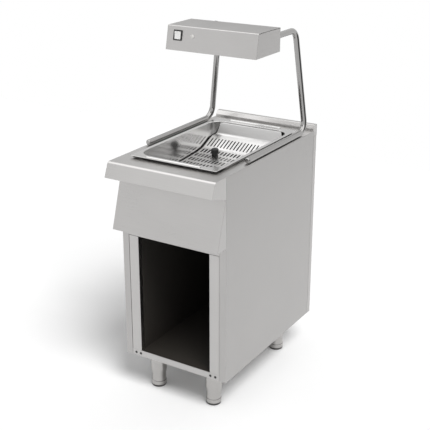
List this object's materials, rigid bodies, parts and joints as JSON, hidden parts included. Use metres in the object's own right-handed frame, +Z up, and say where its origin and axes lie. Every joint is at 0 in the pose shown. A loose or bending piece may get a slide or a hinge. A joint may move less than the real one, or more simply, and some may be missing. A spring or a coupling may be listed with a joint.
{
  "type": "chip warmer",
  "caption": "Free-standing chip warmer: open steel cupboard on adjustable feet, worktop with lift-out pan and perforated insert, heat lamp on two bent tubes.",
  "frame": {"origin": "on the floor, under the middle of the cabinet's width and depth", "axes": "+Z up, +Y from the front to the back, +X to the right seen from the front"},
  "size_m": [0.4, 0.7, 1.234],
  "materials": {
    "brushed_steel": "satin stainless sheet, grain along the length of each panel",
    "polished_steel": "bright polished stainless sheet of the pan and insert",
    "plated_steel": "zinc-plated sheet steel of the hidden frame pieces",
    "chrome": "mirror-bright tube and wire",
    "aluminium": "polished reflector sheet",
    "dark_lining": "near-black matt coating",
    "black_plastic": "moulded, fine matt",
    "white_plastic": "moulded, satin gloss",
    "quartz": "quartz heater tube with its coil showing through",
    "pilot_glass": "clear moulded lens, unlit",
    "ceramic": "unglazed steatite",
    "brass": "turned",
    "cable_sheath": "matt heat-resistant sheath"
  },
  "bodies": {
    "cabinet": {"worktop": "brushed_steel", "left_side_panel": "brushed_steel", "right_side_panel": "brushed_steel", "rear_panel": "brushed_steel", "base_panel": "brushed_steel", "left_stile": "brushed_steel", "right_stile": "brushed_steel", "top_rail": "brushed_steel", "front_fascia": "brushed_steel", "hinge_plug_left_outer": "black_plastic", "hinge_plug_left_inner": "black_plastic", "hinge_plug_right_inner": "black_plastic", "hinge_plug_right_outer": "black_plastic", "left_liner": "dark_lining", "right_liner": "dark_lining", "rear_liner": "dark_lining", "compartment_floor": "dark_lining", "compartment_ceiling": "dark_lining", "front_cross_member": "plated_steel", "rear_cross_member": "plated_steel", "front_leg_bearer": "plated_steel", "rear_leg_bearer": "plated_steel", "leg_front_left": "brushed_steel", "leg_front_right": "brushed_steel", "leg_rear_left": "brushed_steel", "leg_rear_right": "brushed_steel", "stand_tube_left": "chrome", "stand_tube_right": "chrome", "stand_plug_left": "chrome", "stand_plug_right": "chrome", "stand_backing_left": "plated_steel", "stand_backing_right": "plated_steel", "lamp_housing": "brushed_steel", "lamp_reflector": "aluminium", "heater_front": "quartz", "heater_rear": "quartz", "heater_holder_left": "ceramic", "heater_holder_right": "ceramic", "lamp_guard": "chrome", "lamp_terminals": "ceramic", "lamp_cable": "cable_sheath", "switch_bezel": "black_plastic", "switch_body": "black_plastic", "pilot_lens": "pilot_glass", "pilot_body": "black_plastic", "supply_box": "plated_steel", "supply_box_cover": "plated_steel", "supply_terminals": "ceramic", "cable_gland": "black_plastic", "bonding_stud": "brass"},
    "pan": {"gn_pan": "polished_steel"},
    "insert": {"perforated_insert": "polished_steel", "insert_knob": "black_plastic"},
    "rocker": {"switch_rocker": "white_plastic"},
    "foot_front_left": {"foot_front_left": "brushed_steel"},
    "foot_front_right": {"foot_front_right": "brushed_steel"},
    "foot_rear_left": {"foot_rear_left": "brushed_steel"},
    "foot_rear_right": {"foot_rear_right": "brushed_steel"}
  },
  "joints": [
    {"name": "pan_lift", "type": "slide", "parent": "cabinet", "child": "pan", "axis": [0, 0, 1], "range_m": [0, 0.16]},
    {"name": "insert_lift", "type": "slide", "parent": "pan", "child": "insert", "axis": [0, 0, 1], "range_m": [0, 0.15]},
    {"name": "rocker_tilt", "type": "hinge", "parent": "cabinet", "child": "rocker", "pos_m": [-0.1265, -0.0309, 1.2038], "axis": [1, 0, 0], "range_deg": [-14, 0]},
    {"name": "foot_front_left_screw", "type": "slide", "parent": "cabinet", "child": "foot_front_left", "axis": [0, 0, -1], "range_m": [0, 0.03]},
    {"name": "foot_front_right_screw", "type": "slide", "parent": "cabinet", "child": "foot_front_right", "axis": [0, 0, -1], "range_m": [0, 0.03]},
    {"name": "foot_rear_left_screw", "type": "slide", "parent": "cabinet", "child": "foot_rear_left", "axis": [0, 0, -1], "range_m": [0, 0.03]},
    {"name": "foot_rear_right_screw", "type": "slide", "parent": "cabinet", "child": "foot_rear_right", "axis": [0, 0, -1], "range_m": [0, 0.03]}
  ]
}
